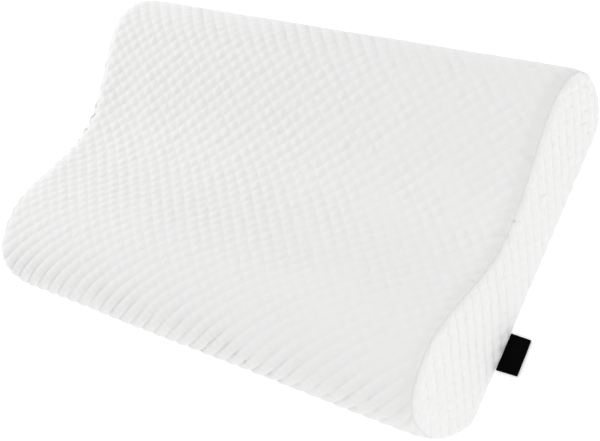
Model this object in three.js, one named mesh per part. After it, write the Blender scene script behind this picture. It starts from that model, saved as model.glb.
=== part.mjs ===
// A contoured cervical pillow in a knitted, diamond-quilted cover, at its real size in millimetres.
// X runs along the length, Y from the high front lobe to the lower back lobe, and Z up.
// The origin is in the middle of the flat underside.
// One long cloth wraps the filling from the underside round the front, over the top and down the back.
// Each end is closed by a sewn panel, and a folded tab stands out from the right end's lower rim.
import * as THREE from 'three';

// The pillow's driving sizes
const LENGTH = 506;
const DEPTH = 302;
const FRONT_CREST = 90.5;
const HOLLOW = 55;
const BACK_CREST_LEFT = 79.5;
const BACK_CREST_RIGHT = 70.5;
const FRONT_NOSE = 44;
const BACK_NOSE = 39.5;

// Where the section's high and low places lie, measured back from the front nose
const BASE_STARTS = 29.5;
const FRONT_CREST_AT = 54;
const HOLLOW_AT = 162;
const BACK_CREST_AT = 262.5;
const BASE_ENDS = 268.5;

// The seams between the wrap and the end panels
const END_ROUND = 7;
const PANEL_MIDDLE = 3;
const PANEL_RIM = 1.5;
const SEAM_GAP = 0.3;
const HOLLOW_PUCKER = 1.6;
const PUCKER_REACH = 42;

// The line inside an end panel that its fullness rises towards
const SPINE_HEIGHT = 27;
const SPINE_MARGIN = 40;

// The folded tab at the right end's lower rim
const TAB_STARTS = 71;
const TAB_WIDTH = 30;
const TAB_REACH = 18;
const TAB_LAYER = 0.8;
const TAB_FOLD_GAP = 0.4;
const TAB_CLEAR = 0.4;
const TAB_FOLD_STEPS = 6;

const COVER_WHITE = 0xf1f1f0;
const PANEL_WHITE = 0xf4f4f3;
const TAB_BLACK = 0x0c0c0d;
const KNIT_ROUGHNESS = 0.92;
const RIBBON_ROUGHNESS = 0.75;

// The ways that the cloth runs in the section, as steps along Y and Z
const TO_FRONT = [-1, 0];
const TO_BACK = [1, 0];
const UPWARDS = [0, 1];
const DOWNWARDS = [0, -1];

// One row for each place where the section turns. Heading is the way the cloth runs there, before and
// after are the curve's handles, and drawnIn is how far the end seam pulls the cloth in at that place.
const OUTLINE = [
  { place: 'base front', y: BASE_STARTS, z: 0, heading: TO_FRONT,
    before: 20, after: 10, steps: 8, drawnIn: 1.2 },
  { place: 'front nose', y: 0, z: FRONT_NOSE, heading: UPWARDS,
    before: 14, after: 36, steps: 12, drawnIn: 5.5 },
  { place: 'front crest', y: FRONT_CREST_AT, z: FRONT_CREST, heading: TO_BACK,
    before: 32, after: 36, steps: 13, drawnIn: 2 },
  { place: 'hollow', y: HOLLOW_AT, z: HOLLOW, heading: TO_BACK,
    before: 39, after: 32, steps: 11, drawnIn: 3.8 },
  { place: 'back crest', y: BACK_CREST_AT, z: BACK_CREST_LEFT, heading: TO_BACK,
    before: 31, after: 14, steps: 11, drawnIn: 7.5 },
  { place: 'back nose', y: DEPTH, z: BACK_NOSE, heading: DOWNWARDS,
    before: 24, after: 17, steps: 8, drawnIn: 1.6 },
  { place: 'base back', y: BASE_ENDS, z: 0, heading: TO_FRONT,
    before: 14, after: 60, steps: 10, drawnIn: 1.8 },
];

const smooth = (share) => share * share * (3 - 2 * share);
const blend = (from, to, share) => from + (to - from) * share;

// The back lobe is a little lower at the right end than at the left.
function backCrestAt(x) {
  return blend(BACK_CREST_LEFT, BACK_CREST_RIGHT, x / LENGTH + 0.5);
}

// The curve from one row of the outline to the next, as a cubic with the rows' headings.
function curveBetween(row, next) {
  return new THREE.CubicBezierCurve(
    new THREE.Vector2(row.y, row.z),
    new THREE.Vector2(row.y + row.heading[0] * row.after, row.z + row.heading[1] * row.after),
    new THREE.Vector2(next.y - next.heading[0] * next.before, next.z - next.heading[1] * next.before),
    new THREE.Vector2(next.y, next.z),
  );
}

// The section's outline at one place along the length, with the seam's pull worked out for each point.
function sectionAt(x) {
  const rows = OUTLINE.map((row) => (row.place === 'back crest' ? { ...row, z: backCrestAt(x) } : row));
  const points = [];
  rows.forEach((row, index) => {
    const next = rows[(index + 1) % rows.length];
    const curve = curveBetween(row, next);
    for (let step = 0; step < row.steps; step += 1) {
      const share = step / row.steps;
      const point = curve.getPoint(share);
      points.push({ y: point.x, z: point.y, drawnIn: blend(row.drawnIn, next.drawnIn, smooth(share)) });
    }
  });
  return points;
}

// Moves each point of an outline inwards, square to the outline, by its own amount.
function pulledIn(points, amountAt) {
  return points.map((point, index) => {
    const before = points[(index + points.length - 1) % points.length];
    const after = points[(index + 1) % points.length];
    const along = Math.hypot(after.y - before.y, after.z - before.z);
    const amount = amountAt(point);
    return {
      ...point,
      y: point.y + ((after.z - before.z) / along) * amount,
      z: point.z - ((after.y - before.y) / along) * amount,
    };
  });
}

// Moves each point of an outline a share of the way to the panel's spine, which keeps the outline simple.
function towardsSpine(points, share) {
  return points.map((point) => ({
    ...point,
    y: blend(point.y, THREE.MathUtils.clamp(point.y, SPINE_MARGIN, DEPTH - SPINE_MARGIN), share),
    z: blend(point.z, SPINE_HEIGHT, share),
  }));
}

// The cloth lifts a little over the hollow close to each end seam, where it is bunched.
function puckered(points, fromEnd) {
  const share = Math.max(0, 1 - fromEnd / PUCKER_REACH);
  return points.map((point) => {
    const away = (point.y - HOLLOW_AT) / PUCKER_REACH;
    const lift = point.z > BACK_NOSE ? HOLLOW_PUCKER * smooth(share) * Math.exp(-away * away) : 0;
    return { ...point, z: point.z + lift };
  });
}

// The wrap's outline at a distance from its own end, rounded over towards the seam.
function wrapSection(side, fromEnd) {
  const bodyEnd = LENGTH / 2 - PANEL_MIDDLE - SEAM_GAP;
  const x = side * (bodyEnd - fromEnd);
  const turned = Math.min(fromEnd / END_ROUND, 1);
  const fallen = 1 - Math.sqrt(1 - (1 - turned) * (1 - turned));
  const points = pulledIn(puckered(sectionAt(x), fromEnd), (point) => point.drawnIn * fallen);
  return { x, points };
}

// Triangles that close a flat outline, wound to face along +X or -X.
function flatCap(points, firstIndex, side) {
  const contour = points.map((point) => new THREE.Vector2(point.y, point.z));
  const faces = THREE.ShapeUtils.triangulateShape(contour, []);
  return faces.map(([a, b, c]) => {
    const turn = (contour[b].x - contour[a].x) * (contour[c].y - contour[a].y)
      - (contour[b].y - contour[a].y) * (contour[c].x - contour[a].x);
    const order = turn * side > 0 ? [a, b, c] : [a, c, b];
    return order.map((corner) => corner + firstIndex);
  });
}

// A closed solid through a row of outlines that all have the same number of points, from -X to +X.
function throughSections(sections) {
  const positions = [];
  const triangles = [];
  const count = sections[0].points.length;
  sections.forEach(({ x, points }) => {
    points.forEach((point) => positions.push(x, point.y - DEPTH / 2, point.z));
  });
  for (let section = 0; section < sections.length - 1; section += 1) {
    for (let index = 0; index < count; index += 1) {
      const here = section * count + index;
      const onward = section * count + ((index + 1) % count);
      triangles.push([here, here + count, onward], [onward, here + count, onward + count]);
    }
  }
  const last = sections.length - 1;
  triangles.push(...flatCap(sections[0].points, 0, -1));
  triangles.push(...flatCap(sections[last].points, last * count, 1));
  const geometry = new THREE.BufferGeometry();
  geometry.setAttribute('position', new THREE.Float32BufferAttribute(positions, 3));
  geometry.setIndex(triangles.flat());
  geometry.computeVertexNormals();
  return geometry;
}

// The filled pillow in its long wrap: straight along the middle, rounded over at both ends.
function pillowBody() {
  const roundTurns = [90, 66, 44, 22, 0];
  const fromEnds = roundTurns.map((turn) => END_ROUND * (1 - Math.sin(THREE.MathUtils.degToRad(turn))));
  const puckerShares = [0.4, 0.7, 1];
  const middleShares = [0.45, 0.8];
  const inwards = [
    ...fromEnds,
    ...puckerShares.map((share) => PUCKER_REACH * share),
    ...middleShares.map((share) => (LENGTH / 2) * share),
  ];
  const left = inwards.map((fromEnd) => wrapSection(-1, fromEnd));
  const right = inwards.map((fromEnd) => wrapSection(1, fromEnd));
  return throughSections([...left, ...right.reverse()]);
}

// An end panel: flat against the filling, a little thicker in the middle than at its sewn rim.
function endPanel(side) {
  const rim = wrapSection(side, 0).points;
  const insideFace = LENGTH / 2 - PANEL_MIDDLE;
  const layers = [
    { inwards: 0, fullness: -1 },
    { inwards: 0, fullness: -0.4 },
    { inwards: 0.02, fullness: 0 },
    { inwards: 0.14, fullness: 0.5 },
    { inwards: 0.34, fullness: 0.88 },
    { inwards: 0.6, fullness: 1 },
  ];
  const sections = layers.map(({ inwards, fullness }) => ({
    x: side * (insideFace + PANEL_RIM + fullness * (fullness > 0 ? PANEL_MIDDLE - PANEL_RIM : PANEL_RIM)),
    points: towardsSpine(rim, inwards),
  }));
  return throughSections(side > 0 ? sections : sections.reverse());
}

// The tab is one strip folded back on itself, both ends at the panel's lower rim and the fold outwards.
function sideTab() {
  const root = LENGTH / 2 - PANEL_MIDDLE + PANEL_RIM + TAB_CLEAR;
  const tip = LENGTH / 2 + TAB_REACH;
  const thick = 2 * TAB_LAYER + TAB_FOLD_GAP;
  const foldOuter = thick / 2;
  const foldInner = TAB_FOLD_GAP / 2;
  const middle = TAB_CLEAR + foldOuter;
  const strip = new THREE.Shape();
  strip.moveTo(root, TAB_CLEAR);
  strip.lineTo(tip - foldOuter, TAB_CLEAR);
  strip.absarc(tip - foldOuter, middle, foldOuter, -Math.PI / 2, Math.PI / 2, false);
  strip.lineTo(root, TAB_CLEAR + thick);
  strip.lineTo(root, TAB_CLEAR + thick - TAB_LAYER);
  strip.lineTo(tip - foldOuter, TAB_CLEAR + thick - TAB_LAYER);
  strip.absarc(tip - foldOuter, middle, foldInner, Math.PI / 2, -Math.PI / 2, true);
  strip.lineTo(root, TAB_CLEAR + TAB_LAYER);
  strip.closePath();
  const run = { depth: TAB_WIDTH, bevelEnabled: false, curveSegments: TAB_FOLD_STEPS };
  const geometry = new THREE.ExtrudeGeometry(strip, run);
  // The strip is drawn in X and Z, so the extrusion is turned from Z to run along Y.
  geometry.rotateX(Math.PI / 2);
  geometry.translate(0, TAB_STARTS + TAB_WIDTH - DEPTH / 2, 0);
  return geometry;
}

function cloth(name, geometry, colour, roughness) {
  const finish = new THREE.MeshStandardMaterial({ color: colour, roughness, metalness: 0 });
  const mesh = new THREE.Mesh(geometry, finish);
  mesh.name = name;
  return mesh;
}

const pillow = new THREE.Group();
pillow.add(cloth('pillow_body', pillowBody(), COVER_WHITE, KNIT_ROUGHNESS));
pillow.add(cloth('end_panel_left', endPanel(-1), PANEL_WHITE, KNIT_ROUGHNESS));
pillow.add(cloth('end_panel_right', endPanel(1), PANEL_WHITE, KNIT_ROUGHNESS));
pillow.add(cloth('side_tab', sideTab(), TAB_BLACK, RIBBON_ROUGHNESS));

export default pillow;
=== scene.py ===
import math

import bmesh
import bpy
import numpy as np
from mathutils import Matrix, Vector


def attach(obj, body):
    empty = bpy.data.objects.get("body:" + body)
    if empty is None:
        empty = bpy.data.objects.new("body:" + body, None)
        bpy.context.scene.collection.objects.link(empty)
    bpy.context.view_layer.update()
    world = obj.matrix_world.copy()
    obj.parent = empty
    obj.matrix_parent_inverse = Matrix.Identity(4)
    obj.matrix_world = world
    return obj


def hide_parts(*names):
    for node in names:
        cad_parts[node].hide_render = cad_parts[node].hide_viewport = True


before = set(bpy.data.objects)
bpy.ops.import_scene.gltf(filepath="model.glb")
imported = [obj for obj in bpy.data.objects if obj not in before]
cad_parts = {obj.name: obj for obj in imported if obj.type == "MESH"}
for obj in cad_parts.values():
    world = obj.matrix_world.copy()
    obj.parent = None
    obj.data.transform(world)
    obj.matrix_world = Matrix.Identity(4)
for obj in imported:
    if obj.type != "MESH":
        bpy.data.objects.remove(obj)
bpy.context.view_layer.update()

# %% [markdown]
# # A contoured cervical pillow, made step by step
#
# The pillow is a block of soft foam with a high front lobe, a hollow for the head and a lower back
# lobe. It wears a white knitted cover that is quilted all over in small diamonds, and a blank black
# tab is caught in the lower seam of its right end. Everything is in metres, X runs along the length
# towards the tab, Y from the high front lobe to the back, and Z up. The underside rests on the floor
# at Z = 0. The shapes are worked out in millimetres and turned into metres when a mesh is made.

MM = 0.001
print("pieces in the frame:", sorted(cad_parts))

# %% [markdown]
# ## The sizes that drive the form
#
# The outline is the section that a foam cutter's wire would follow. It could be traced as one free
# curve, but a table of the few places where it turns is easier to read and to change. Each row says
# where such a place lies (measured back from the front nose and up from the underside), which way the
# cloth runs there, how far the curve keeps that heading before and after, and how deep the end seam
# pulls the cloth in. These are the same values that the solid part was cut with, so the cover lies on
# that solid.

# %% Sizes and the outline's rows, in millimetres
LENGTH, DEPTH = 506.0, 302.0
BACK_CREST_LEFT, BACK_CREST_RIGHT = 79.5, 70.5
BACK_NOSE_HEIGHT = 39.5
HOLLOW_AT = 162.0
PANEL_THICK, PANEL_RIM_THICK = 3.0, 1.5  # the solid panel in its middle and at its sewn rim
SEAM_GAP = 0.3  # between the solid wrap and the solid panels
COLUMNS = ("place", "y", "z", "heading", "before", "after", "drawn_in")
OUTLINE = [dict(zip(COLUMNS, row)) for row in (
    ("base front", 29.5, 0.0, (-1, 0), 20, 10, 1.2),
    ("front nose", 0.0, 44.0, (0, 1), 14, 36, 5.5),
    ("front crest", 54.0, 90.5, (1, 0), 32, 36, 2.0),
    ("hollow", HOLLOW_AT, 55.0, (1, 0), 39, 32, 3.8),
    ("back crest", 262.5, BACK_CREST_LEFT, (1, 0), 31, 14, 7.5),
    ("back nose", DEPTH, BACK_NOSE_HEIGHT, (0, -1), 24, 17, 1.6),
    ("base back", 268.5, 0.0, (-1, 0), 14, 60, 1.8),
)]
BODY_END = LENGTH / 2 - PANEL_THICK - SEAM_GAP
print("the wrap ends", round(BODY_END, 1), "mm to each side of the middle")


# %% Easing and curves
def smooth(share):
    """An easy start and end between 0 and 1."""
    share = np.clip(share, 0.0, 1.0)
    return share * share * (3 - 2 * share)


def rising(value, start, over):
    """0 up to a start, then an easy climb to 1 over a length."""
    return smooth((value - start) / over)


def falling(value, end, over):
    """An easy fall from 1 over a length, to 0 at its end and beyond."""
    return smooth((end - value) / over)


def blend(low, high, share):
    return low + (high - low) * share


def bezier(start, leave, arrive, end, share):
    """One curve between two rows of the outline."""
    rest = 1 - share
    return (rest ** 3 * start + 3 * rest * rest * share * leave
            + 3 * rest * share * share * arrive + share ** 3 * end)


print("an easy climb in quarters:", [round(float(smooth(part / 4)), 3) for part in range(5)])

# %% The outline at any place along the length
CURVE_STEPS = 60


def section_at(x):
    """The outline at one place along the length: y, z and the pull of the end seam, point by point."""
    crest = blend(BACK_CREST_LEFT, BACK_CREST_RIGHT, x / LENGTH + 0.5)
    rows = [dict(row, z=crest) if row["place"] == "back crest" else row for row in OUTLINE]
    share = np.arange(CURVE_STEPS) / CURVE_STEPS
    parts = []
    for row, after in zip(rows, rows[1:] + rows[:1]):
        axes = []
        for axis, name in enumerate(("y", "z")):
            leave = row[name] + row["heading"][axis] * row["after"]
            arrive = after[name] - after["heading"][axis] * after["before"]
            axes.append(bezier(row[name], leave, arrive, after[name], share))
        axes.append(blend(row["drawn_in"], after["drawn_in"], smooth(share)))
        parts.append(np.stack(axes, axis=1))
    return np.concatenate(parts)


middle = section_at(0.0)
steps = np.roll(middle[:, :2], -1, axis=0) - middle[:, :2]
girth = np.linalg.norm(steps, axis=1).sum()
print(f"outline in the middle: {middle[:, 0].max():.0f} mm deep, {middle[:, 1].max():.1f} mm high, "
      f"{girth:.0f} mm round")

# %% The outline beside the end seams
HOLLOW_LIFT, LIFT_REACH = 1.6, 42.0
PULL_REACH = 13.0  # how far in from the seam its pull is felt
PULL_LEAST, PULL_SHARE = 0.8, 0.35  # the pull in mm, with a share of the outline's own drawn_in


def wrap_outline(side, from_end):
    """The wrap's outline at a distance from its own end. Near the seam the cloth stands up a little
    over the hollow, and the seam draws it in."""
    points = section_at(side * (BODY_END - from_end))
    away = (points[:, 0] - HOLLOW_AT) / LIFT_REACH
    lift = HOLLOW_LIFT * smooth(1 - from_end / LIFT_REACH) * np.exp(-away * away)
    points[:, 1] += np.where(points[:, 1] > BACK_NOSE_HEIGHT, lift, 0.0)
    along = np.roll(points[:, :2], -1, axis=0) - np.roll(points[:, :2], 1, axis=0)
    along /= np.linalg.norm(along, axis=1, keepdims=True)
    share = max(1 - from_end / PULL_REACH, 0.0) ** 2
    pull = np.minimum(points[:, 2], PULL_LEAST + PULL_SHARE * points[:, 2]) * share
    points[:, 0] += along[:, 1] * pull
    points[:, 1] -= along[:, 0] * pull
    return points[:, :2]


print("height of the wrap at the right seam:", round(float(wrap_outline(1, 0.0)[:, 1].max()), 1), "mm")

# %% [markdown]
# ## Camera, floor and light
#
# The camera stands to the right of the pillow, above it, and is rolled, which is why the pillow lies
# aslant in the picture. The floor could be lit to white, but that would bleach the pillow too. So it
# glows a little by itself, as a light table does, and the pillow stands on plain white with only a
# faint shadow under its edge. The light is a white room with three soft boxes: a strong one low behind
# the left end, which draws the quilting, and weak ones at the right and in front.

# %% Camera
LENS, SENSOR = 90.35, 36.0
SHIFT = (-0.0078, 0.0040)
CAMERA_AT = Vector((0.8826, -0.2222, 0.9391))
# the directions of the camera's own right, up and back
CAMERA_RIGHT = Vector((0.71239, 0.40945, -0.56996))
CAMERA_UP = Vector((-0.20358, 0.89780, 0.39052))
CAMERA_BACK = Vector((0.67161, -0.16217, 0.72294))


def link(name, data):
    """A new object in the scene for a camera, a light or a mesh."""
    obj = bpy.data.objects.new(name, data)
    bpy.context.scene.collection.objects.link(obj)
    return obj


camera_data = bpy.data.cameras.new("camera")
camera_data.lens = LENS
camera_data.sensor_width = SENSOR
camera_data.shift_x, camera_data.shift_y = SHIFT
camera = link("camera", camera_data)
turn = Matrix((CAMERA_RIGHT, CAMERA_UP, CAMERA_BACK)).transposed()
camera.matrix_world = Matrix.Translation(CAMERA_AT) @ turn.to_4x4()
bpy.context.scene.camera = camera
bpy.context.scene.view_settings.view_transform = "Standard"
bpy.context.scene.view_settings.look = "None"
print("camera", round(CAMERA_AT.length, 2), "m from the pillow's middle")

# %% Floor
FLOOR_HALF, FLOOR_AT = 40.0, -0.0004
FLOOR_WHITE, FLOOR_ROUGHNESS, FLOOR_GLOW = 0.9, 0.9, 0.35


def fill_in(node, values):
    """Sets a node's own sockets by name."""
    for socket, value in values.items():
        node.inputs[socket].default_value = value


def new_material(name, values):
    """A material with the given values on its shader; also its node tree and its shader."""
    material = bpy.data.materials.new(name)
    material.use_nodes = True
    shader = material.node_tree.nodes["Principled BSDF"]
    fill_in(shader, values)
    return material, material.node_tree, shader


floor_mesh = bpy.data.meshes.new("floor")
corners = [(x * FLOOR_HALF, y * FLOOR_HALF, FLOOR_AT)
           for x, y in ((-1, -1), (1, -1), (1, 1), (-1, 1))]
floor_mesh.from_pydata(corners, [], [(0, 1, 2, 3)])
floor = link("floor", floor_mesh)
floor_paint, _, _ = new_material("floor_white", {
    "Base Color": (FLOOR_WHITE, FLOOR_WHITE, FLOOR_WHITE, 1), "Roughness": FLOOR_ROUGHNESS,
    "Emission Color": (1, 1, 1, 1), "Emission Strength": FLOOR_GLOW})
floor_mesh.materials.append(floor_paint)
print("floor", 2 * FLOOR_HALF, "m across")

# %% White room and soft boxes
ROOM_GLOW = 0.7
LIGHTS_AIM = Vector((0, 0, 0.04))
SOFT_BOXES = [
    dict(name="key_left", at=(-2.2, 0.3, 0.9), size=0.9, watts=24),
    dict(name="fill_right", at=(1.6, 0.3, 0.9), size=0.9, watts=2.6),
    dict(name="fill_front", at=(1.0, -1.0, 1.6), size=0.9, watts=4.6),
]

room = bpy.data.worlds.new("white_room")
room.use_nodes = True
fill_in(room.node_tree.nodes["Background"], {"Color": (1, 1, 1, 1), "Strength": ROOM_GLOW})
bpy.context.scene.world = room
for box in SOFT_BOXES:
    light = bpy.data.lights.new(box["name"], "AREA")
    light.size = box["size"]
    light.energy = box["watts"]
    lamp = link(box["name"], light)
    lamp.location = box["at"]
    lamp.rotation_euler = (LIGHTS_AIM - lamp.location).to_track_quat("-Z", "Y").to_euler()
print("a white room and", len(SOFT_BOXES), "soft boxes")

# %% [markdown]
# ## Helpers for cloth
#
# Cloth is never quite regular, so slow ripples with fixed random phases shift the quilting lines and
# the surface a little. A quilted diamond is a small cushion: zero on its four sewn lines, steep beside
# them and nearly flat on top. It could be sculpted or baked into a bump, but as a formula it is true
# relief, and one helper serves the wrap and both end panels.

# %% Ripples and puffs
chance = np.random.RandomState(11)  # the one source of chance, with a fixed start
CELLS = 128  # diamonds each way before their heights repeat
PUFF_VARIETY = chance.uniform(0.75, 1.15, (CELLS, CELLS))
PUFF_LEAN = chance.uniform(-0.9, 0.9, (2, CELLS, CELLS))
RIB_LOW, RIB_RISE = 0.8, 0.2  # the height of a rib where a pulled line crosses it, and the rest


def ripple_set(count, shortest, longest):
    """Fixed random waves: a column each with its two slopes and its phase."""
    angle = chance.uniform(0, 2 * math.pi, count)
    wave = 2 * math.pi / chance.uniform(shortest, longest, count)
    phase = chance.uniform(0, 2 * math.pi, count)
    return np.stack([np.cos(angle) * wave, np.sin(angle) * wave, phase])


def ripples(waves, u, v):
    """The waves' sum at u, v, between about -1 and 1."""
    total = sum(np.sin(u * across + v * up + phase) for across, up, phase in waves.T)
    return total / math.sqrt(waves.shape[1] * 2)


def puff(p, q, ribbed, steepness, variety, cross_ribbed=0.0):
    """The height of the quilting, 0 on the sewn lines and about 1 on top of a diamond. Where the cloth
    is ribbed, the lines of one family are pulled nearly smooth and the diamonds run together."""
    cell = (np.floor(p).astype(int) % CELLS, np.floor(q).astype(int) % CELLS)
    across, along = p - np.floor(p), q - np.floor(q)
    first, second = ((4 * part * (1 - part)) ** steepness for part in (across, along))
    dome = blend(first, RIB_LOW + RIB_RISE * first, ribbed)
    dome = dome * blend(second, RIB_LOW + RIB_RISE * second, cross_ribbed)
    lean = PUFF_LEAN[0][cell] * (across - 0.5) + PUFF_LEAN[1][cell] * (along - 0.5)
    return dome * (1 + variety * lean) * PUFF_VARIETY[cell] ** variety


STEEP_DIAMOND, STEEP_RIB = 0.72, 0.5
over_a_diamond = puff(np.linspace(0, 0.5, 6), np.full(6, 0.5), 0.0, STEEP_DIAMOND, 0.0)
print("from a sewn line to the top of a diamond:", over_a_diamond.round(2))


# %% Meshes
def grid_normals(points):
    """Outward directions of a grid of points that is closed across, from its neighbours."""
    along = np.gradient(points, axis=0)
    across = (np.roll(points, -1, axis=1) - np.roll(points, 1, axis=1)) / 2
    normals = np.cross(along, across)
    return normals / np.maximum(np.linalg.norm(normals, axis=2, keepdims=True), 1e-9)


def mesh_piece(name, points, faces, maps, material):
    """A smooth mesh in metres with its cloth and quilt coordinates stored as UV maps."""
    mesh = bpy.data.meshes.new(name)
    mesh.from_pydata([tuple(point) for point in np.asarray(points) * MM], [], faces)
    corner = np.empty(len(mesh.loops), dtype=np.int32)
    mesh.loops.foreach_get("vertex_index", corner)
    for map_name, values in maps.items():
        layer = mesh.uv_layers.new(name=map_name)
        layer.data.foreach_set("uv", np.asarray(values, dtype=np.float32)[corner].ravel())
    mesh.polygons.foreach_set("use_smooth", [True] * len(mesh.polygons))
    mesh.materials.append(material)
    mesh.validate()
    tidy = bmesh.new()
    tidy.from_mesh(mesh)
    bmesh.ops.recalc_face_normals(tidy, faces=tidy.faces)
    tidy.to_mesh(mesh)
    tidy.free()
    print(name, "has", len(mesh.polygons), "faces")
    return link(name, mesh)


# %% [markdown]
# ## The knit
#
# The cover is a matte white double knit. Seen close, its face is rows of small V-shaped stitches; where
# the two faces of the knit are joined, a fine line runs between the puffs, and a greyer tint is painted
# along it as painted shade for the crease there. A photo of cloth could be laid on as a picture, but
# nodes work at any scale. They read the two UV maps, so the stitches follow the cloth and the lines
# follow the puffs.

# %% Node helpers
MIX_SHARE, MIX_FIRST, MIX_SECOND, MIX_RESULT = 0, 6, 7, 2  # a Mix node's sockets for colours


def maths(tree, operation, *values, clamp=False):
    """A maths node fed by numbers or by other nodes' outputs."""
    node = tree.nodes.new("ShaderNodeMath")
    node.operation = operation
    node.use_clamp = clamp
    for slot, value in zip(node.inputs, values):
        if isinstance(value, (int, float)):
            slot.default_value = value
        else:
            tree.links.new(value, slot)
    return node.outputs[0]


def uv_axes(tree, map_name):
    """A UV map as a whole and as its two numbers."""
    node = tree.nodes.new("ShaderNodeUVMap")
    node.uv_map = map_name
    split = tree.nodes.new("ShaderNodeSeparateXYZ")
    tree.links.new(node.outputs["UV"], split.inputs[0])
    return node.outputs["UV"], split.outputs[0], split.outputs[1]


def noise(tree, vector, scale, detail):
    node = tree.nodes.new("ShaderNodeTexNoise")
    fill_in(node, {"Scale": scale, "Detail": detail})
    tree.links.new(vector, node.inputs["Vector"])
    return node.outputs["Fac"]


def bump_surface(tree, shader, height, strength, distance):
    """Fine relief that only turns the light."""
    bump = tree.nodes.new("ShaderNodeBump")
    fill_in(bump, {"Strength": strength, "Distance": distance})
    tree.links.new(height, bump.inputs["Height"])
    tree.links.new(bump.outputs["Normal"], shader.inputs["Normal"])


def tint_surface(tree, shader, share, first, second):
    """A colour between two tints, the second where the share is 1."""
    mix = tree.nodes.new("ShaderNodeMix")
    mix.data_type = "RGBA"
    mix.inputs[MIX_FIRST].default_value = (*first, 1)
    mix.inputs[MIX_SECOND].default_value = (*second, 1)
    tree.links.new(share, mix.inputs[MIX_SHARE])
    tree.links.new(mix.outputs[MIX_RESULT], shader.inputs["Base Color"])


print("node helpers ready")

# %% The sewn line and the stitches
WALE, COURSE = 1.1 * MM, 0.85 * MM  # the width and the height of a stitch
GROOVE, GROOVE_ROUND = 0.045, 0.5  # half the line's width, in diamonds, and how soft its edge is
LINE_PATCHES = dict(scale=42.0, detail=2.0)
PATCH_CONTRAST = (4.0, -1.3)


def line_distance(tree, value):
    """How far a lattice value is from the nearest sewn line, in shares of a diamond."""
    return maths(tree, "PINGPONG", value, 0.5)


def sewn_lines(tree, cloth_uv, u, stretch, cross):
    """1 on the puffs and lower along the sewn lines. The lines come and go in patches, and fade where
    the cloth is stretched; cross fades the lines of one family."""
    _, p, q = uv_axes(tree, "quilt")
    crossing = maths(tree, "ADD", line_distance(tree, p), cross)
    nearest = maths(tree, "MINIMUM", crossing, line_distance(tree, q))
    puffed = maths(tree, "SMOOTH_MIN", maths(tree, "DIVIDE", nearest, GROOVE), 1.0, GROOVE_ROUND)
    puffed = maths(tree, "MAXIMUM", puffed, 0.0)
    patches = noise(tree, cloth_uv, **LINE_PATCHES)
    shown = maths(tree, "MULTIPLY_ADD", patches, *PATCH_CONTRAST, clamp=True)
    stretched = maths(tree, "MULTIPLY_ADD", u, *stretch, clamp=True)
    shown = maths(tree, "MULTIPLY", shown, maths(tree, "SUBTRACT", 1.0, stretched))
    sunk = maths(tree, "MULTIPLY", maths(tree, "SUBTRACT", 1.0, puffed), shown)
    return maths(tree, "SUBTRACT", 1.0, sunk)


def stitches(tree, u, v):
    """Columns of round stitches, each row bent to a V within its column."""
    wale = maths(tree, "PINGPONG", maths(tree, "DIVIDE", u, WALE), 0.5)
    course = maths(tree, "ADD", maths(tree, "DIVIDE", v, COURSE), wale)
    rounded = maths(tree, "SINE", maths(tree, "MULTIPLY", wale, math.pi * 2))
    return maths(tree, "MULTIPLY", maths(tree, "PINGPONG", course, 0.5), rounded)


print("knit stitches", round(WALE / MM, 2), "by", round(COURSE / MM, 2), "mm")

# %% The knit of the wrap and of the end panels
KNIT = {"Roughness": 0.92, "Specular IOR Level": 0.2, "Sheen Weight": 0.25, "Sheen Roughness": 0.5}
KNIT_WHITE = (0.87, 0.87, 0.865)
# painted shade: the greyer tints along the sewn lines stand in for the shade in their creases; a random
# mottle also draws on them
WRAP_LINE_SHADE_AND_MOTTLE, PANEL_LINE_SHADE_AND_MOTTLE = (0.84, 0.84, 0.835), (0.83, 0.83, 0.825)
FUZZ, MOTTLE = dict(scale=700.0, detail=3.0), dict(scale=60.0, detail=4.0)
STITCH_RELIEF, FUZZ_RELIEF = 0.35, 0.35
KNIT_BUMP, KNIT_DEPTH = 0.35, 0.25 * MM
MOTTLE_SWING, MOTTLE_LEAST = 0.3, 0.8
WRAP_STRETCH, PANEL_STRETCH = (2.0, 0.1), (0.0, 0.0)
PANEL_CROSS = 0.03


def knit_material(name, shade_and_mottle, stretch, cross):
    material, tree, shader = new_material(name, KNIT)
    cloth_uv, u, v = uv_axes(tree, "cloth")
    lines = sewn_lines(tree, cloth_uv, u, stretch, cross)
    fuzz = maths(tree, "MULTIPLY", noise(tree, cloth_uv, **FUZZ), FUZZ_RELIEF)
    relief = maths(tree, "ADD", lines, maths(tree, "MULTIPLY", stitches(tree, u, v), STITCH_RELIEF))
    relief = maths(tree, "ADD", relief, fuzz)
    bump_surface(tree, shader, relief, KNIT_BUMP, KNIT_DEPTH)
    # painted shade: the sewn lines get the greyer tint as shade in their creases, and a random mottle
    # adds some of the same grey
    mottle = maths(tree, "MULTIPLY", noise(tree, cloth_uv, **MOTTLE), MOTTLE_SWING)
    share = maths(tree, "MULTIPLY", lines, maths(tree, "ADD", mottle, MOTTLE_LEAST))
    tint_surface(tree, shader, maths(tree, "MINIMUM", share, 1.0), shade_and_mottle, KNIT_WHITE)
    return material


knit = knit_material("cover_knit", WRAP_LINE_SHADE_AND_MOTTLE, WRAP_STRETCH, 0.0)
panel_knit = knit_material("cover_knit_panel", PANEL_LINE_SHADE_AND_MOTTLE, PANEL_STRETCH, PANEL_CROSS)
print("knits:", knit.name, "and", panel_knit.name)

# %% [markdown]
# ## The wrap
#
# One long cloth goes round the foam. Its mesh lines run along and round the pillow in equal shares of a
# diamond, so that every sewn line falls on corners of the mesh and keeps its crease, with closer lines
# at the seams. The lines are made first on the plain outline, then each point is moved out by the
# height of its puff. A cloth simulation could fill the cover, but a foam block holds its cut form, and
# the quilting has to stay a true lattice, so this is shaped by code.

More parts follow.
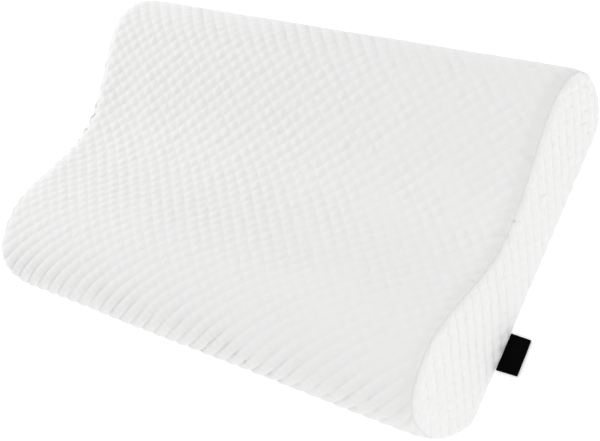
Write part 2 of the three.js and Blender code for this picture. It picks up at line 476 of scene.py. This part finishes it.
# %% Wrap: its grid of lines
DIAMOND_X = 15.14  # mm along the pillow
ROUND_DIAMONDS = 54  # rows of diamonds round it, counted from the front of its base, over the top
FINE, COARSE = 8, 4  # mesh lines in a diamond, above and underneath
BASE_FROM = 36  # the row where the underside begins
EDGE_BAND = 7.0  # the lattice stops this far from the seam
EDGE_LINES = [0.0, 0.1, 0.4, 0.9, 1.6, 2.5, 3.6, 5.0]  # and closer lines run at these distances

last_line = math.floor((BODY_END - EDGE_BAND) * FINE / DIAMOND_X)
lattice_x = np.arange(-last_line, last_line + 1) * DIAMOND_X / FINE
left_lines = [-(BODY_END - line) for line in EDGE_LINES]
right_lines = [BODY_END - line for line in reversed(EDGE_LINES)]
columns = np.concatenate([left_lines, lattice_x, right_lines])
rows = np.concatenate([np.arange(0, BASE_FROM, 1 / FINE),
                       np.arange(BASE_FROM, ROUND_DIAMONDS, 1 / COARSE)])
print(len(columns), "lines round the pillow and", len(rows), "along it; a diamond is",
      DIAMOND_X, "by", round(girth / ROUND_DIAMONDS, 1), "mm")

# %% Wrap: the plain form under the quilting
SEAM_CLOSED = 0.2  # the visual wrap reaches this much further, so no gap shows at the seam


def resample(points, shares):
    """Points at given shares of the way round a closed outline."""
    ring = np.vstack([points, points[:1]])
    travelled = np.concatenate([[0], np.cumsum(np.linalg.norm(np.diff(ring, axis=0), axis=1))])
    travelled /= travelled[-1]
    return np.stack([np.interp(shares, travelled, ring[:, axis]) for axis in (0, 1)], axis=1)


sections = []
for x in columns:
    outline = wrap_outline(1 if x > 0 else -1, BODY_END - abs(x))
    ring = resample(outline, rows / ROUND_DIAMONDS)
    sections.append(np.column_stack([np.full(len(rows), x), ring]))
base = np.array(sections)
base[:, :, 1] -= DEPTH / 2
base[0, :, 0] -= SEAM_CLOSED
base[-1, :, 0] += SEAM_CLOSED
outward = grid_normals(base)
print("plain form", np.ptp(base.reshape(-1, 3), axis=0).round(1), "mm")

# %% [markdown]
# ## The quilting of the end panels, which also shapes the seam
#
# On the real pillow the end panels are cut from a knit with smaller diamonds. They stand on edge, so
# their diamonds run together into steep ribs, and where a rib meets the seam it pushes the seam out in
# a small scallop. The seam could be one smooth line with the scallops added by hand. Here the ribs'
# own formula says how far the seam is pushed, and the wrap and the panel both ask it, so they meet.

# %% Panel quilting and the seam's scallops
PANEL_DIAMOND_Y, PANEL_DIAMOND_Z = 13.25, 13.6
PANEL_WANDER, WANDER_CLOSER, ENDS_APART = 0.045, 1.7, 90  # the lines' drift, unlike at the two ends
LINE_BEND = 0.06
PANEL_RIBBED = 0.82
CREASE_LEAN = 1.6  # above 1, the crease on one side of a rib is the sharper one
PANEL_STEEPNESS, PANEL_VARIETY = 0.5, 0.4
SPINE_HEIGHT, SPINE_MARGIN = 27.0, 40.0  # the line along the panel's middle: height, and from its ends
RIM_SCALLOP, SCALLOP_STEEPNESS, MEAN_SCALLOP = 1.1, 0.8, 0.65
RIM_BUNCH, BUNCH_REACH = 1.8, 34.0
LINE_DRIFT = ripple_set(9, 60, 190)
LINE_DRIFT_TOO = ripple_set(9, 60, 190)


def panel_lines(side, y, z):
    """The two families of sewn lines of an end panel; the steep ones bend a little at each crossing."""
    u, v = y * WANDER_CLOSER, z * WANDER_CLOSER + side * ENDS_APART
    p = y / PANEL_DIAMOND_Y + z / PANEL_DIAMOND_Z + PANEL_WANDER * ripples(LINE_DRIFT, u, v)
    q = y / PANEL_DIAMOND_Y - z / PANEL_DIAMOND_Z + PANEL_WANDER * ripples(LINE_DRIFT_TOO, u, v)
    return p, q + LINE_BEND * np.sin(2 * math.pi * p)


def panel_ribs(p, q, steepness, variety):
    """The height of the ribs, which lean to one side."""
    leaning = np.floor(q) + (q - np.floor(q)) ** CREASE_LEAN
    return puff(p, leaning, PANEL_RIBBED, steepness, variety)


def seam_scallop(side, y, z):
    """How far the ribs push the seam out, most of all over the hollow, where the panel is bunched."""
    bunched = np.exp(-((y - HOLLOW_AT) / BUNCH_REACH) ** 2) * (z > SPINE_HEIGHT)
    ribs = panel_ribs(*panel_lines(side, y, z), SCALLOP_STEEPNESS, 0.0)
    return RIM_SCALLOP * (1 + RIM_BUNCH * bunched) * (ribs - MEAN_SCALLOP)


right_seam = base[-1]
scallops = seam_scallop(1, right_seam[:, 1] + DEPTH / 2, right_seam[:, 2])
print("the right seam is pushed", scallops.min().round(1), "to", scallops.max().round(1), "mm")

# %% [markdown]
# ## Puckers beside the end seams
#
# The seam gathers the wrap, so short creases run in from it, most of them beside the hollow where there
# is cloth to spare. A simulation would find some too, but not where they are wanted. Each pucker is a
# narrow valley that fades away from the seam, and the stitching holds the cloth at the seam itself.

# %% Wrap: puckers
FOLDS_PER_END = 22
HOLLOW_ROUND, HOLLOW_SPREAD = 252.0, 38  # mm round the outline: the hollow, and the puckers beside it
OTHERS_FROM, OTHERS_TO = 20, girth * 0.62
FOLD_REACH, FOLD_LEAN, FOLD_STRENGTH = (4, 13), (-0.35, 0.35), (0.35, 1.0)
STRENGTH_REACH = 120
FOLD_WIDTH, FOLD_DEPTH = 1.5, 1.5
FOLD_HELD = 2.2  # mm beside the seam where the stitching holds the cloth


def pucker_folds(along, round_):
    """How deep the creases beside both end seams are at each point of the wrap."""
    depth = np.zeros_like(along)
    for side in (-1, 1):
        from_seam = BODY_END - side * along
        held = smooth((from_seam + SEAM_CLOSED) / FOLD_HELD)
        for fold in range(FOLDS_PER_END):
            beside_hollow = fold % 2
            at = (chance.normal(HOLLOW_ROUND, HOLLOW_SPREAD) if beside_hollow
                  else chance.uniform(OTHERS_FROM, OTHERS_TO))
            reach = chance.uniform(*FOLD_REACH)
            lean = chance.uniform(*FOLD_LEAN)
            strength = chance.uniform(*FOLD_STRENGTH)
            strength *= math.exp(-((at - HOLLOW_ROUND) / STRENGTH_REACH) ** 2)
            across = (round_ - at - lean * from_seam) / FOLD_WIDTH
            valley = np.exp(-across * across) * np.exp(-(from_seam / reach) ** 2)
            depth += FOLD_DEPTH * strength * valley * held
    return depth


print(FOLDS_PER_END, "puckers at each end")

# %% [markdown]
# ## The quilting of the wrap
#
# The same cloth looks different from place to place. At the left it is loose and its diamonds are full;
# towards the right it is stretched, soft and patchy. Over the front lobe and down the back it is pulled
# one way, so the diamonds run together into ribs, and along the front crest it is nearly pulled flat.
# Below, the pillow's weight presses the puffs. One even pattern would look printed, so each of these
# changes gets a place where it starts and a length over which it eases in.

# %% Wrap: where its sewn lines run
LINE_WANDER = 0.035
SOFT_SWELL = ripple_set(8, 90, 240)
PATCHES = ripple_set(12, 24, 70)

along_cloth = columns[:, None] + 0 * rows[None, :]
round_cloth = (rows * girth / ROUND_DIAMONDS)[None, :] + 0 * columns[:, None]
row = rows[None, :] + 0 * columns[:, None]
p = along_cloth / DIAMOND_X + row + LINE_WANDER * ripples(LINE_DRIFT, along_cloth, round_cloth)
q = along_cloth / DIAMOND_X - row + LINE_WANDER * ripples(LINE_DRIFT_TOO, along_cloth, round_cloth)
print("sewn lines of one family:", int(np.ptp(np.floor(p))) + 1)

# %% Wrap: how full its puffs are
# A change is where it starts and over what length it eases in, in mm along the pillow.
PUFF_LEFT, PUFF_RIGHT, LOOSE_CHANGE = 1.22, 0.66, (-40, 230)
FRONT_LEFT, FRONT_RIGHT, RIGHT_CHANGE = 1.7, 2.6, (-60, 240)
CREST_ROW, CREST_WIDTH = 10.5, 3.2
FRONT_ROWS = (CREST_ROW - 1.5, 3.0)  # the row where the front lobe's fullness ends, easing over rows
TAUT_LEFT, TAUT_RIGHT, TAUT_CHANGE = 0.25, 0.4, (-170, 160)
PATCHY_MEAN, PATCHY_SWING, PATCHY_LIMITS, PATCHY_CHANGE = 0.9, 0.7, (0.45, 1.35), (-40, 200)

loose = blend(PUFF_LEFT, PUFF_RIGHT, rising(along_cloth, *LOOSE_CHANGE))
front_gain = blend(FRONT_LEFT, FRONT_RIGHT, rising(along_cloth, *RIGHT_CHANGE))
loose = loose * blend(1.0, front_gain, falling(row, *FRONT_ROWS))
patchy = PATCHY_MEAN + PATCHY_SWING * ripples(PATCHES, along_cloth, round_cloth)
loose = loose * blend(1.0, np.clip(patchy, *PATCHY_LIMITS), rising(along_cloth, *PATCHY_CHANGE))
on_crest = np.exp(-((row - CREST_ROW) / CREST_WIDTH) ** 2)
taut = 1 - on_crest * blend(TAUT_LEFT, TAUT_RIGHT, rising(along_cloth, *TAUT_CHANGE))
print("fullness of the puffs:", (loose * taut).min().round(2), "to", (loose * taut).max().round(2))

# %% Wrap: where it is ribbed, pressed and held
RIBBED = 0.85
FRONT_RIBS, BACK_RIBS = (CREST_ROW + 0.5, 4.0), (26.0, 3.0)
RIBS_EVEN = 0.75
FACING_DOWN, PRESSED_FLAT = (0.75, 0.23), 0.75  # a face that looks down is pressed by this share
END_FADE = 2.5

ribbed = RIBBED * falling(row, *FRONT_RIBS)
back_ribbed = RIBBED * rising(row, *BACK_RIBS)
either = np.maximum(ribbed, back_ribbed) / RIBBED
steepness = blend(STEEP_DIAMOND, STEEP_RIB, np.maximum(rising(along_cloth, *RIGHT_CHANGE), either))
pressed = rising(-outward[:, :, 2], *FACING_DOWN)
end_fade = smooth((BODY_END - np.abs(along_cloth)) / END_FADE)
print("share of the wrap that is ribbed:", (either > 0.5).mean().round(2))

# %% Wrap: its points, moved out by their puffs
MEAN_PUFF = 0.72
SWELL = 0.35
SCALLOP_REACH = 5.0

height = puff(p, q, ribbed, steepness, 1 - RIBS_EVEN * either, back_ribbed) - MEAN_PUFF
height = height * loose * taut * (1 - PRESSED_FLAT * pressed) * end_fade
height += SWELL * ripples(SOFT_SWELL, along_cloth, round_cloth) * (1 - pressed) * end_fade
height -= pucker_folds(along_cloth, round_cloth)
wrap_points = base + outward * height[:, :, None]
sideways = outward * np.array([0.0, 1.0, 1.0])
sideways /= np.maximum(np.linalg.norm(sideways, axis=2, keepdims=True), 1e-6)
for side, end in ((-1, 0), (1, -1)):
    pushed = seam_scallop(side, base[end, :, 1] + DEPTH / 2, base[end, :, 2])
    fade = np.exp(-((BODY_END - side * along_cloth) / SCALLOP_REACH) ** 2)
    wrap_points += sideways * (pushed[None, :] * fade)[:, :, None]
wrap_points[:, :, 2] = np.maximum(wrap_points[:, :, 2], 0.0)
print("relief of the quilting:", height.min().round(1), "to", height.max().round(1), "mm")

# %% Wrap: the lips that tuck in behind the end panels, and the mesh
LIP_INWARDS, LIP_DEEP = 0.06, 0.7

lips = []
for end, turned in ((0, 1), (-1, -1)):
    lip = wrap_points[end] - outward[end] * np.array([0.0, LIP_INWARDS, LIP_INWARDS])
    lip[:, 0] += turned * LIP_DEEP
    lips.append(lip)
wrap_points = np.concatenate([lips[:1], wrap_points, lips[1:]])
p, q, along_cloth, round_cloth = (np.concatenate([values[:1], values, values[-1:]])
                                  for values in (p, q, along_cloth, round_cloth))
count_u, count_v = wrap_points.shape[:2]
faces = []
for i in range(count_u - 1):
    for j in range(count_v):
        here, onward = i * count_v + j, i * count_v + (j + 1) % count_v
        faces.append((here, here + count_v, onward + count_v, onward))
faces.append(tuple(range(count_v)))
faces.append(tuple((count_u - 1) * count_v + j for j in reversed(range(count_v))))
wrap_maps = {"cloth": np.stack([along_cloth, round_cloth], axis=2).reshape(-1, 2) * MM,
             "quilt": np.stack([p, q], axis=2).reshape(-1, 2)}
wrap = mesh_piece("quilted_wrap", wrap_points.reshape(-1, 3), faces, wrap_maps, knit)
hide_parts("pillow_body")
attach(wrap, "root")

# %% [markdown]
# ## The end panels
#
# Each end is closed by a panel of the same knit in the outline of the foam. A flat grid trimmed to the
# outline would leave a ragged rim, so the mesh is rings that run in from the sewn rim to a line along
# the middle of the panel, its spine. The rim is thin where it is sewn and swells up steeply beside the
# seam, and the diamonds are smaller and squarer, because this cloth isn't stretched.

# %% End panels: their rings
PANEL_STEP = 1.5
BACK_ARC, FRONT_ARC = 64, 72
PANEL_RINGS, RINGS_CLOSER = 44, 1.3


def upper_and_lower(outline):
    """Splits an outline at its noses into the upper and lower edge, each from front to back."""
    front, back = int(np.argmin(outline[:, 0])), int(np.argmax(outline[:, 0]))
    upper = outline[front:back + 1]
    lower = np.vstack([outline[back:], outline[:front + 1]])[::-1]
    return upper, lower


def nose_arc(upper, lower, limit, count, front):
    """Points round one nose, between the spine's end below and above it."""
    if front:
        path = np.vstack([lower[lower[:, 0] <= limit][::-1], upper[upper[:, 0] <= limit][1:]])
    else:
        path = np.vstack([upper[upper[:, 0] >= limit], lower[lower[:, 0] >= limit][::-1][1:]])
    travelled = np.concatenate([[0], np.cumsum(np.linalg.norm(np.diff(path, axis=0), axis=1))])
    shares = np.linspace(0, travelled[-1], count + 2)[1:-1]
    return np.stack([np.interp(shares, travelled, path[:, axis]) for axis in (0, 1)], axis=1)


def panel_rings(side):
    """A panel's rim, its rings, its spine, and which point of the spine each point of the rim faces."""
    upper, lower = upper_and_lower(wrap_outline(side, 0.0))
    low_y, high_y = SPINE_MARGIN, DEPTH - SPINE_MARGIN
    stations = np.linspace(low_y, high_y, int((high_y - low_y) / PANEL_STEP) + 1)
    top, bottom = (np.stack([stations, np.interp(stations, part[:, 0], part[:, 1])], axis=1)
                   for part in (upper, lower))
    back_arc = nose_arc(upper, lower, high_y, BACK_ARC, front=False)
    front_arc = nose_arc(upper, lower, low_y, FRONT_ARC, front=True)
    rim = np.vstack([top, back_arc, bottom[::-1], front_arc])
    spine = np.stack([stations, np.full(len(stations), SPINE_HEIGHT)], axis=1)
    there = list(range(len(stations)))
    to_spine = there + [there[-1]] * BACK_ARC + there[::-1] + [0] * FRONT_ARC
    share = np.linspace(0, 1, PANEL_RINGS + 1)[:-1] ** RINGS_CLOSER
    return rim, [rim + (spine[to_spine] - rim) * part for part in share], spine, to_spine


print("an end panel has", PANEL_RINGS, "rings of", len(panel_rings(1)[0]), "points")

# %% End panels: their thickness and faces
RIM_THICK = 0.5
SWELL_BY, SWELL_OVER = 2.6, 1.5  # the steep rise beside the seam
CROWN_BY, CROWN_OVER = 0.9, 25.0  # the slow rise towards the spine
PANEL_PUFF, PANEL_MEAN_PUFF, PUFF_OVER = 1.9, 0.7, 2.5
FULL_FRONT, FULL_BACK = 0.95, 1.3


def panel_thickness(from_rim, y, ribs):
    thick = RIM_THICK + SWELL_BY * (1 - np.exp(-from_rim / SWELL_OVER))
    thick = thick + CROWN_BY * smooth(from_rim / CROWN_OVER)
    full = PANEL_PUFF * blend(FULL_FRONT, FULL_BACK, y / DEPTH)
    return thick + full * (ribs - PANEL_MEAN_PUFF) * smooth(from_rim / PUFF_OVER)


def panel_faces(side, loop, ring_count, to_spine, spine_count):
    """Faces over the outside, round the rim and over the inside, in that order of corners: the rings,
    the spine, the inner rim, the inner spine."""
    spine_at = loop * ring_count
    inner_at = spine_at + spine_count
    inner_spine_at = inner_at + loop
    faces = []

    def strip(first, second):
        """Faces between two loops of corners, where corners that meet make triangles."""
        for k in range(loop):
            n = (k + 1) % loop
            face = [first(k), first(n), second(n), second(k)]
            face = [corner for index, corner in enumerate(face) if corner not in face[:index]]
            faces.append(tuple(face if side > 0 else face[::-1]))

    strip(lambda k: inner_spine_at + to_spine[k], lambda k: inner_at + k)
    strip(lambda k: inner_at + k, lambda k: k)
    for ring in range(ring_count - 1):
        strip(lambda k: ring * loop + k, lambda k: (ring + 1) * loop + k)
    strip(lambda k: (ring_count - 1) * loop + k, lambda k: spine_at + to_spine[k])
    return faces


print("a panel's rim is", RIM_THICK, "mm thick, and 5 mm further in the knit is",
      round(float(panel_thickness(5.0, DEPTH / 2, PANEL_MEAN_PUFF)), 1), "mm thick")

# %% End panels: the two pieces
RIM_INSET = 0.12  # the rim sits this far inside the wrap's lip
SPINE_FROM_RIM = 30.0
SCALLOP_INTO = 7.0  # how far into the panel the seam's scallops reach


def panel_piece(side, name):
    """A quilted end panel, and its rim as cut."""
    rim, rings, spine, to_spine = panel_rings(side)
    loop, count = len(rim), len(rings)
    flat = np.vstack(rings + [spine])
    from_rim = np.concatenate([np.linalg.norm(rim - ring, axis=1) for ring in rings]
                              + [np.full(len(spine), SPINE_FROM_RIM)])
    p, q = panel_lines(side, flat[:, 0], flat[:, 1])
    thick = panel_thickness(from_rim, flat[:, 0], panel_ribs(p, q, PANEL_STEEPNESS, PANEL_VARIETY))
    towards_rim = flat - np.vstack([spine[to_spine]] * count + [spine])
    towards_rim /= np.maximum(np.linalg.norm(towards_rim, axis=1, keepdims=True), 1e-6)
    at_rim = np.vstack([rim] * count + [spine])
    scallop = seam_scallop(side, at_rim[:, 0], at_rim[:, 1]) * (1 - smooth(from_rim / SCALLOP_INTO))
    flat = flat + towards_rim * (scallop - RIM_INSET)[:, None]
    flat[:, 1] = np.maximum(flat[:, 1], 0.0)

    inside = BODY_END + SEAM_CLOSED - RIM_THICK
    outer = np.column_stack([side * (inside + thick), flat])
    inner = np.vstack([flat[:loop], spine])
    inner = np.column_stack([np.full(len(inner), side * inside), inner])
    points = np.vstack([outer, inner])
    points[:, 1] -= DEPTH / 2
    cut = np.vstack([rim, spine])
    cut_lines = np.stack(panel_lines(side, cut[:, 0], cut[:, 1]), axis=1)
    maps = {"cloth": np.vstack([flat, cut]) * MM,
            "quilt": np.vstack([np.stack([p, q], axis=1), cut_lines])}
    faces = panel_faces(side, loop, count, to_spine, len(spine))
    return mesh_piece(name, points, faces, maps, panel_knit), rim


for side, name in ((-1, "end_panel_left"), (1, "end_panel_right")):
    panel, rim = panel_piece(side, "quilted_" + name)
    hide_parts(name)
    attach(panel, "root")

# %% [markdown]
# ## The tab
#
# The tab is a short length of black woven ribbon, folded double so that its fold points outwards, with
# both cut ends caught in the seam. A block with rounded edges would look like rubber. So the strip is
# run along its own middle line, out from the seam, round the fold and back, with thin hems and a slight
# wave, and its weave is a fine bump in black.

# %% Tab: its ribbon
RIBBON = {"Roughness": 0.75, "Specular IOR Level": 0.03}
RIBBON_DARK, RIBBON_LIGHT = (0.0005, 0.0005, 0.0006), (0.0022, 0.0022, 0.0023)
RIB_EVERY, TWILL_EVERY = 0.45 * MM, 0.6 * MM
RIB_SHARE, TWILL_SHARE = 0.4, 0.6
WEAVE_BUMP, WEAVE_DEPTH = 0.4, 0.06 * MM


def ribbon_material():
    material, tree, shader = new_material("tab_ribbon", RIBBON)
    _, u, v = uv_axes(tree, "cloth")
    ribs = maths(tree, "SINE", maths(tree, "MULTIPLY", u, 2 * math.pi / RIB_EVERY))
    slant = maths(tree, "MULTIPLY", maths(tree, "ADD", u, v), 2 * math.pi / TWILL_EVERY)
    twill = maths(tree, "MULTIPLY", maths(tree, "SINE", slant), TWILL_SHARE)
    weave = maths(tree, "ADD", maths(tree, "MULTIPLY", ribs, RIB_SHARE), twill)
    bump_surface(tree, shader, weave, WEAVE_BUMP, WEAVE_DEPTH)
    share = maths(tree, "ADD", maths(tree, "MULTIPLY", weave, 0.5), 0.5)
    tint_surface(tree, shader, share, RIBBON_DARK, RIBBON_LIGHT)
    return material


ribbon = ribbon_material()
print("ribbon:", ribbon.name)

# %% Tab: the strip's middle line
TAB_FROM, TAB_WIDTH, TAB_REACH = 71.0, 30.0, 18.0  # back from the front nose; past the panel
TAB_LAYER, TAB_FOLD_GAP, TAB_CLEAR = 0.8, 0.4, 0.4  # each layer, between the two, above the floor
STRAIGHT_STEPS, FOLD_STEPS = 14, 9
TAB_SEAM, TAB_TIP = LENGTH / 2 - PANEL_THICK + PANEL_RIM_THICK, LENGTH / 2 + TAB_REACH


def strip_line():
    """Points of the strip's middle line with their outward directions, and how far each is along it."""
    bend = (2 * TAB_LAYER + TAB_FOLD_GAP) / 2
    lane = bend - TAB_LAYER / 2
    level, turn_at = TAB_CLEAR + bend, TAB_TIP - bend
    straight = np.linspace(TAB_SEAM, turn_at, STRAIGHT_STEPS)
    angles = np.linspace(-math.pi / 2, math.pi / 2, FOLD_STEPS)[1:-1]
    round_fold = [(turn_at + lane * math.cos(a), level + lane * math.sin(a), math.cos(a), math.sin(a))
                  for a in angles]
    line = np.array([(x, level - lane, 0, -1) for x in straight] + round_fold
                    + [(x, level + lane, 0, 1) for x in straight[::-1]])
    steps = np.linalg.norm(np.diff(line[:, :2], axis=0), axis=1)
    return line, np.concatenate([[0], np.cumsum(steps)])


line, travelled = strip_line()

# %% Tab: the piece
ACROSS_STEPS = 17
HEM_THIN, HEM_WIDTH = 0.35, 0.7
WAVE_HIGH, WAVE_CLOSE, WAVE_PHASE, WAVE_LIFT = 0.3, 5.1, 0.6, 0.2
GATHER_HIGH, GATHER_CLOSE = 0.12, 21
TAB_NARROWS, TAB_SKEW = 0.5, 1.3


def tab_point(sign, step, share):
    """One corner of the strip, on its outer or inner face, at a share of its width."""
    x, z, turned_x, turned_z = step
    hem = 1 - HEM_THIN * math.exp(-((min(share, 1 - share) * TAB_WIDTH) / HEM_WIDTH) ** 2)
    reach = (x - TAB_SEAM) / (TAB_TIP - TAB_SEAM)
    wave = reach * (WAVE_HIGH * math.sin(share * WAVE_CLOSE + WAVE_PHASE) + WAVE_LIFT)
    wave += GATHER_HIGH * math.sin(share * GATHER_CLOSE) * (1 - reach)
    half = sign * TAB_LAYER / 2 * hem
    y = TAB_FROM + share * TAB_WIDTH + TAB_NARROWS * reach * (1 - 2 * share) - DEPTH / 2
    return x + turned_x * half - TAB_SKEW * reach * share, y, z + turned_z * half + max(wave, 0) * reach


def tab_faces(n, m):
    """Faces of a strip n points long and m wide: its two sides, its hems and its two cut ends."""
    faces = []
    far = n * m
    for i in range(n - 1):
        for j in range(m - 1):
            a = i * m + j
            faces.append((a, a + m, a + m + 1, a + 1))
            faces.append((a + far, a + far + 1, a + far + m + 1, a + far + m))
    for i in range(n - 1):
        for j in (0, m - 1):
            a = i * m + j
            face = (a, a + far, a + far + m, a + m)
            faces.append(face if j == 0 else face[::-1])
    for j in range(m - 1):
        for i in (0, n - 1):
            a = i * m + j
            face = (a, a + 1, a + 1 + far, a + far)
            faces.append(face if i == 0 else face[::-1])
    return faces


across = np.linspace(0, 1, ACROSS_STEPS)
points = [tab_point(sign, step, share) for sign in (1, -1) for step in line for share in across]
cloth = [(share * TAB_WIDTH * MM, gone * MM) for _ in (1, -1) for gone in travelled for share in across]
tab = mesh_piece("folded_tab", points, tab_faces(len(line), len(across)), {"cloth": cloth}, ribbon)
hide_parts("side_tab")
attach(tab, "root")
